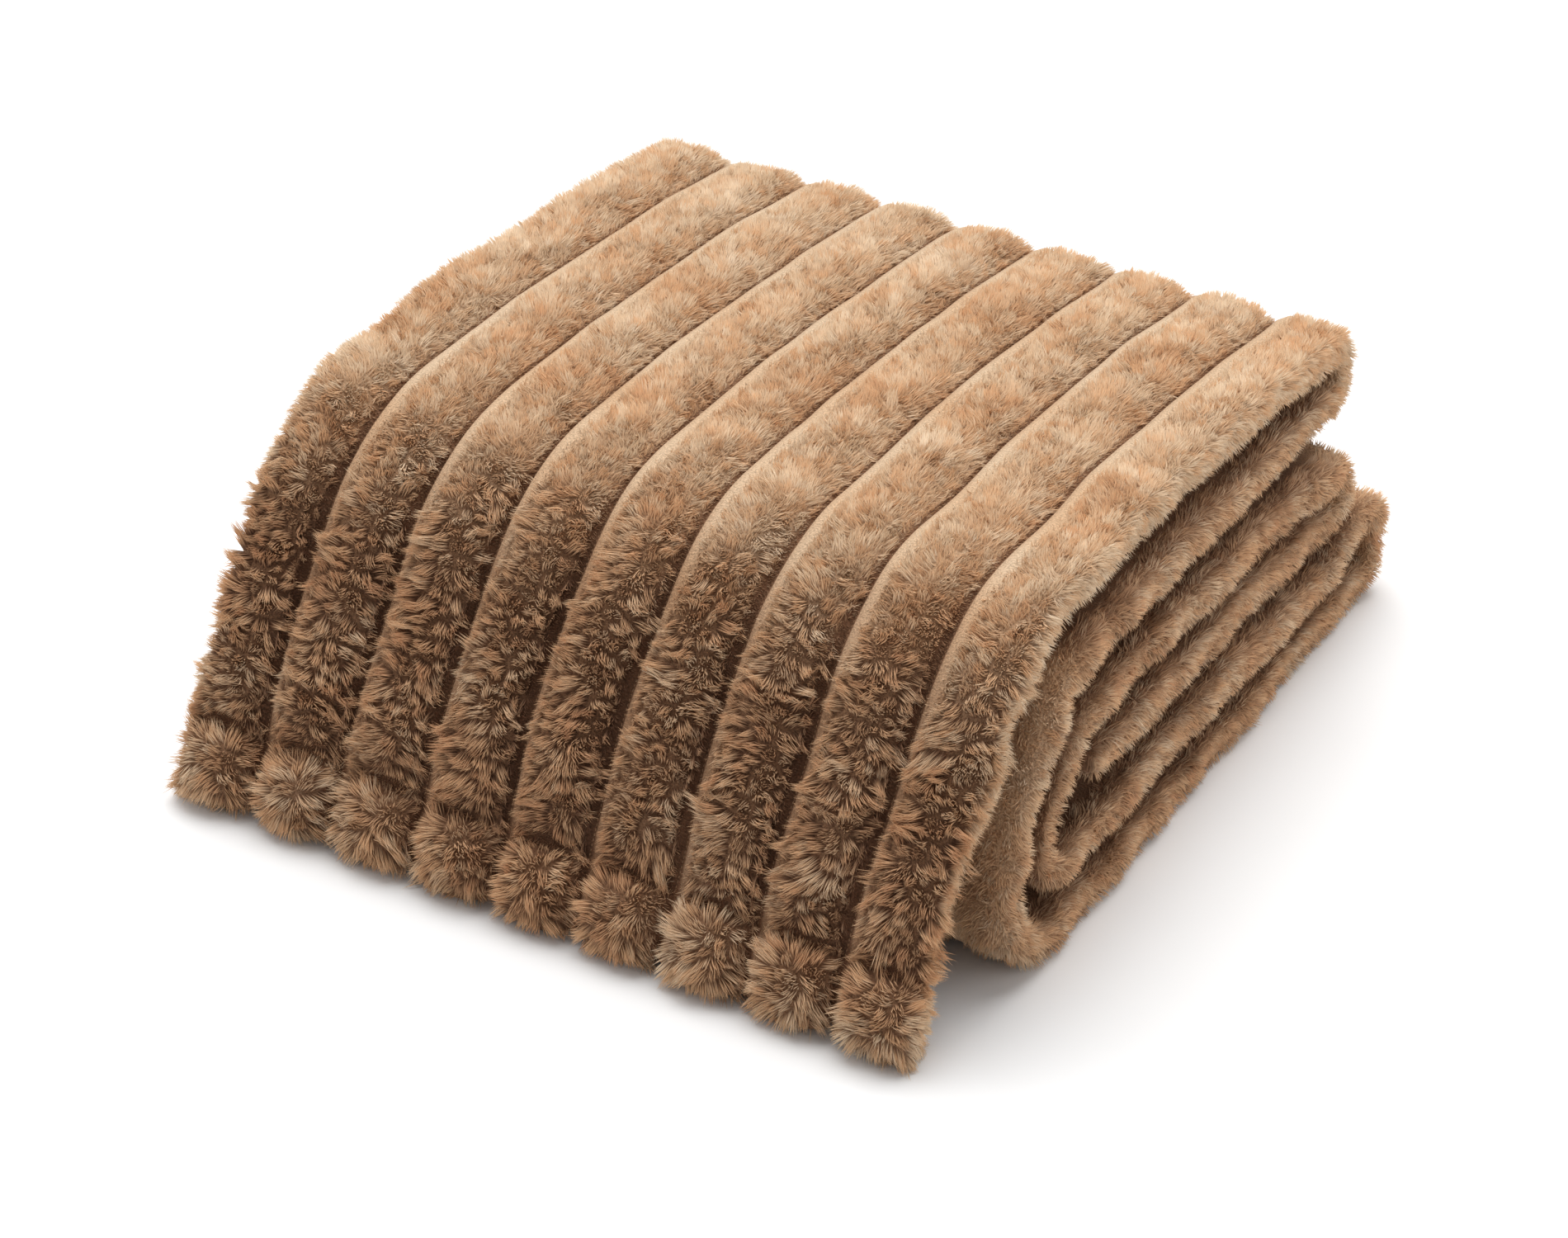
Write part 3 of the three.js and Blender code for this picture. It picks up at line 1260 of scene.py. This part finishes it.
    def build(self, material: Material) -> Object:
        """Grows the hairs as one joined mesh.

        Args:
            material: The pile's finish.

        Returns:
            The finished piece.
        """
        rng = np.random.default_rng(self.seed)
        bed = self.bed(rng)
        point, ahead, beside, out = self.shape.stand(bed.along, bed.girth)
        way, traits = self.locks.nearest(bed.along, bed.girth)
        lean = self.lean(bed, traits, rng)
        rough = mix(self.uneven_flap, self.uneven_top, bed.upper)
        uneven = self.uneven_hair * rng.uniform(-1, 1, len(rough))
        uneven = 1 + rough * traits[:, 2] * bed.loose + uneven
        tall = (self.shape.pile(bed.along, bed.across, bed.rise) * uneven * MM)[:, None]
        gather = mix(self.gather_flap, self.gather_top, bed.upper)
        gather = mix(gather, self.gather_tuft, bed.tufted)[:, None]
        way = way * bed.loose[:, None]
        draw = way * gather + self.swirl * traits[:, 3:4] * quarter(way)
        curled = quarter(lean) * traits[:, 3:4] * self.curl
        leant, twist, drawn = (w[:, :1] * ahead + w[:, 1:] * beside for w in (lean, curled, draw))
        down = np.array([0.0, 0.0, -self.droop]) + self.droop * out * out[:, 2:]
        base = point - out * self.sink * MM
        tip = point + tall * (self.stand_tall * out + (leant + down) + twist) + drawn * MM
        corners, normals = self.spikes(base, tip, out, beside, rng)
        spike = np.array([(side, (side + 1) % 3, 3) for side in range(3)])
        places = self.places(self.shades(bed, out, traits, rng))
        piece = joined(self.name, corners, spike, places, material)
        data = piece.data
        data.polygons.foreach_set("use_smooth", np.ones(len(data.polygons), bool))
        data.normals_split_custom_set(normals.reshape(-1, 3))
        return piece

    def spikes(
        self,
        base: Array,
        tip: Array,
        out: Array,
        beside: Array,
        rng: np.random.Generator,
    ) -> tuple[Array, Array]:
        """Makes each hair a spike of three faces, softly shaded, with an open root.

        Args:
            base: The middle of each root.
            tip: The tip of each hair.
            out: The way out of the ground.
            beside: A way along the ground.
            rng: The stretch's random numbers.

        Returns:
            The three root corners and the tip of each hair, and the way that each corner of
            each face points.
        """
        run = unit(tip - base)
        flat = unit(np.cross(run, out) + self.steadying * beside)
        other = np.cross(run, flat)
        spin = rng.uniform(0, math.tau, len(base))
        spread = 1 + self.width_spread * rng.uniform(-1, 1, (len(base), 1))
        radius = self.hair_width * MM / 2 * spread
        angles = [(spin + side * math.tau / 3)[:, None] for side in range(3)]
        spokes = [flat * np.cos(angle) + other * np.sin(angle) for angle in angles]
        corners = np.stack([*(base + spoke * radius for spoke in spokes), tip], 1)
        corners[:, :, 2] = np.maximum(corners[:, :, 2], FLOOR_GAP * MM)
        upright = smooth(((run * out).sum(-1, keepdims=True) - self.upright) / (1 - self.upright))
        softening = (self.softness + self.softness_upright * upright) * out
        normals = []
        for first, second in zip(spokes, spokes[1:] + spokes[:1], strict=True):
            for spoke in (first, second, unit(first + second)):
                normals.append(unit(spoke + softening))
        return corners, np.stack(normals, 1)

    def shades(self, bed: Bed, out: Array, traits: Array, rng: np.random.Generator) -> Array:
        """Paints light and shade into the hairs by where they stand, and varies them by their
        locks.

        Args:
            bed: Where the hairs root.
            out: The way out of the ground.
            traits: The traits of their locks.
            rng: The stretch's random numbers.

        Returns:
            Each hair's tone, and how far up the map its root and its tip are.
        """
        shape = self.shape
        tone = shape.tone(bed.along, bed.girth) + self.tone_lock * traits[:, 4]
        tone = tone + self.tone_hair * rng.uniform(-1, 1, len(tone))
        layered = shape.layered(bed.along)
        # Painted shade: darker roots and tips on the drape and on the folded layers.
        root = mix(self.drape_shaded_root, self.root_top, bed.upper)
        root = mix(mix(root, self.layer_shaded_root, layered), self.root_tuft, bed.tufted)
        root = root + (1 - root) * self.root_sleek * bed.sleek
        top = mix(self.drape_shaded_tip, 1, np.maximum(bed.upper, bed.tufted))
        top = mix(mix(top, self.tip_sleek, bed.sleek), self.layer_shaded_tip, layered)
        gap = shape.from_seam(bed.across)
        flank = smooth(1 + gap / self.flank_width) * (gap < 0) * (1 - bed.upper)
        under = layered * (1 - bed.rise**2) * smooth(self.under_from - out[:, 2])
        pressed = shape.pressed(bed.along) * bed.rise**4
        top = top * (1 - self.shaded_under * under)
        top = top * (1 - self.shaded_gap * pressed)
        top = top * (1 - self.shaded_flank * flank)
        top = top * (1 + self.shade_lock * traits[:, 2] * (1 - bed.sleek))
        top = mix(root, top, mix(self.short_tip, 1, bed.opening))
        return np.stack([np.clip(tone, self.tone_least, 1 - self.tone_least), root, top], -1)

    def places(self, shades: Array) -> Array:
        """Lays the three faces of each hair side by side on the map, about its tone.

        Args:
            shades: Each hair's tone, and how far up the map its root and its tip are.

        Returns:
            The map's places for the corners of the faces, in order.
        """
        tone, root, tip = shades.T
        places = []
        for side in range(3):
            low = tone + self.tone_width * (side - 1.5)
            high = tone + self.tone_width * (side - 0.5)
            places += [low, root, high, root, (low + high) / 2, tip]
        return np.stack(places, 1)


@dataclass
class Stitches:
    """The stitches in the seams between the channels, each a small spindle of thread."""

    shape: ClothShape
    name: str = "throw_stitches"
    finish: ThreadFinish = field(default_factory=ThreadFinish)
    pitch: float = 2.6
    length: float = 2.1
    width: float = 0.8
    depth: float = 0.5
    lift: float = 0.3

    def build(self) -> Object:
        """Lays the stitches as one joined mesh.

        Returns:
            The finished piece.
        """
        shape = self.shape
        rows = np.arange(shape.tuft_length, shape.path.corner_along["upper bend under"], self.pitch)
        lines = np.arange(1, shape.channels) * shape.pitch - shape.inner
        along, girth = (grid.ravel() for grid in np.meshgrid(rows, lines))
        point, ahead, beside, out = shape.stand(along, girth)
        centre = point + out * self.lift * MM
        reach = [beside * self.width, ahead * self.length, out * self.depth]
        corners = np.stack([centre + side * r * MM / 2 for r in reach for side in (1, -1)], 1)
        right, left, front, back, top, low = range(6)
        ring = (right, front, left, back)
        around = [(ring[k], ring[(k + 1) % 4]) for k in range(4)]
        spindle = np.array([(a, b, top) for a, b in around] + [(b, a, low) for a, b in around])
        spots = np.array([(0.9, 0.5), (0.1, 0.5), (0.5, 0.9), (0.5, 0.1), (0.5, 0.5), (0.5, 0.5)])
        places = np.tile(spots[spindle.ravel()], (len(corners), 1))
        return joined(self.name, corners, spindle, places, self.finish.material())


class Stretch(Enum):
    """The stretches of pile, by the names of their pieces."""

    HEM = "throw_pile_hem"
    FLAP = "throw_pile_flap"
    TOP_FRONT = "throw_pile_top_front"
    TOP_REAR = "throw_pile_top_rear"
    RIGHT_SIDE = "throw_pile_right_side"
    LEFT_SIDE = "throw_pile_left_side"
    REAR = "throw_pile_rear"


HAIRS = {
    Stretch.HEM: 43000,
    Stretch.FLAP: 74000,
    Stretch.TOP_FRONT: 76000,
    Stretch.TOP_REAR: 72000,
    Stretch.RIGHT_SIDE: 48000,
    Stretch.LEFT_SIDE: 24500,
    Stretch.REAR: 16000,
}


@dataclass
class Throw:
    """The whole throw: its ground, its stitches and the pile on every side that shows."""

    shape: ClothShape
    first_seed: int = 101
    hem_start: float = 1.5
    hem_top: float = 62.0
    past_shoulder: float = 10.0
    past_top: float = 95.0
    past_bend: float = 22.0
    end_gap: float = 2.0
    rim: float = 7.0
    wall_inside: float = 20.0
    wall_past: float = 30.0
    wall_shown: float = 45.0
    low_before: float = 25.0
    low_past: float = 30.0
    middle_past: float = 12.0

    def piles(self) -> list[Pile]:
        """Lays out the stretches of pile, with the most hairs where they show most.

        Returns:
            The stretches, in the order of their seeds.
        """
        shape, rim = self.shape, self.rim
        at = shape.path.corner_along
        face, side = shape.face_girth, shape.side_girth
        end = shape.path.length - self.end_gap
        shoulder = at["front shoulder"] + self.past_shoulder
        middle = at["top"] + self.past_top
        bend = at["upper bend under"] + self.past_bend
        right = (face - rim, face + side + rim)
        left = (2 * face + side - rim, 2 * face + 2 * side + rim)
        faced = (-side / 2, face + side / 2)
        low_bend = (at["lower bend under"] - self.low_before, at["lower bend over"] + self.low_past)
        middle_bend = (
            at["middle bend over"] - self.middle_past,
            at["middle bend under"] + self.middle_past,
        )
        wall = (at["outer shoulder"] + self.wall_inside, at["outer foot"] + self.wall_past)
        patches = {
            Stretch.HEM: (Patch(self.hem_start, self.hem_top, 0, shape.girth),),
            Stretch.FLAP: (Patch(self.hem_top, shoulder, *faced),),
            Stretch.TOP_FRONT: (Patch(shoulder, middle, *faced),),
            Stretch.TOP_REAR: (Patch(middle, bend, *faced),),
            Stretch.RIGHT_SIDE: (
                Patch(self.hem_top, bend, face + side / 2, right[1]),
                Patch(bend, end, *right),
                Patch(*wall, right[1], right[1] + self.wall_shown),
            ),
            Stretch.LEFT_SIDE: (
                Patch(self.hem_top, bend, left[0], left[1] - rim - side / 2),
                Patch(bend, end, *left),
                Patch(*wall, left[0] - self.wall_shown, left[0]),
            ),
            Stretch.REAR: (
                Patch(*low_bend, face + side + rim, left[0]),
                Patch(*middle_bend, rim, face - rim),
            ),
        }
        return [
            Pile(stretch.value, shape, patches[stretch], HAIRS[stretch], self.first_seed + index)
            for index, stretch in enumerate(Stretch)
        ]

    def build(self) -> None:
        """Makes the ground, the stitches and the pile, and ties them to the part."""
        ground = ClothGround(self.shape).build()
        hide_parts(CLOTH_NODE)
        finish = PileFinish().material()
        pieces = [Stitches(self.shape).build(), *(pile.build(finish) for pile in self.piles())]
        for piece in (ground, *pieces):
            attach(piece, BODY)
            report(piece)


class SoftLight(NamedTuple):
    """A square soft light: its place, what it points at and its side in metres, and its watts."""

    name: str
    place: Triple
    aim: Triple
    size: float
    power: float


@dataclass(frozen=True)
class Studio:
    """A plain pale floor, a broad light from behind and above, two fills, and the camera."""

    target: Triple = (0.0203, -0.0548, 0.0820)
    azimuth: float = 30.56
    elevation: float = 34.72
    distance: float = 2.170
    lens: float = 94.65
    sensor: float = 36.0
    floor_size: float = 12.0
    key_from: Triple = (-0.25, 0.42, 1.0)
    key_power: float = 3.4
    key_spread: float = 65.0
    fills: tuple[SoftLight, ...] = (
        SoftLight("side", (2.0, 0.5, 0.75), (0.0, 0.0, 0.1), 1.6, 12.0),
        SoftLight("front", (-1.9, -0.9, 1.0), (0.0, -0.1, 0.1), 1.2, 9.0),
    )
    sky: float = 0.32

    def build(self) -> None:
        """Makes the floor, the lights and the camera."""
        mesh = bmesh.new()
        bmesh.ops.create_grid(mesh, x_segments=1, y_segments=1, size=self.floor_size / 2)
        finished(mesh, "floor", FloorFinish().material())
        self.key()
        for fill in self.fills:
            self.fill(fill)
        world = bpy.data.worlds.new("soft room")
        world.use_nodes = True
        sky = world.node_tree.nodes["Background"]
        sky.inputs["Color"].default_value = (1.0, 1.0, 1.0, 1.0)
        sky.inputs["Strength"].default_value = self.sky
        bpy.context.scene.world = world
        bpy.context.scene.view_settings.view_transform = "Standard"
        self.camera()

    def key(self) -> None:
        """Hangs the key light: broad, even, high behind the throw and a little to its left."""
        lamp = bpy.data.lights.new("key", "SUN")
        lamp.energy = self.key_power
        lamp.angle = math.radians(self.key_spread)
        self.turn(placed(lamp), -Vector(self.key_from))

    def fill(self, fill: SoftLight) -> None:
        """Hangs a soft light.

        Args:
            fill: The light.
        """
        lamp = bpy.data.lights.new(fill.name, "AREA")
        lamp.size = fill.size
        lamp.energy = fill.power
        piece = placed(lamp)
        piece.location = fill.place
        self.turn(piece, Vector(fill.aim) - Vector(fill.place))

    def camera(self) -> None:
        """Sets the camera at the photograph's angle and distance."""
        az, el = math.radians(self.azimuth), math.radians(self.elevation)
        back = Vector((math.sin(az) * math.cos(el), -math.cos(az) * math.cos(el), math.sin(el)))
        data = bpy.data.cameras.new("camera")
        data.lens = self.lens
        data.sensor_width = self.sensor
        data.sensor_fit = "HORIZONTAL"
        piece = placed(data)
        piece.location = Vector(self.target) + back * self.distance
        self.turn(piece, -back)
        bpy.context.scene.camera = piece

    @staticmethod
    def turn(piece: Object, ahead: Vector) -> None:
        """Turns a light or the camera to look ahead."""
        piece.rotation_euler = ahead.to_track_quat("-Z", "Y").to_euler()


def report(piece: Object) -> None:
    """Logs a piece with its number of triangles."""
    triangles = sum(polygon.loop_total - 2 for polygon in piece.data.polygons)
    LOG.info("%s: %d triangles", piece.name, triangles)


def main() -> None:
    """Builds the studio and the throw, in order."""
    logging.basicConfig(level=logging.INFO, format="%(name)s %(message)s")
    Studio().build()
    Throw(ClothShape(FoldPath(FOLDS))).build()


if __name__ == "__main__":
    main()
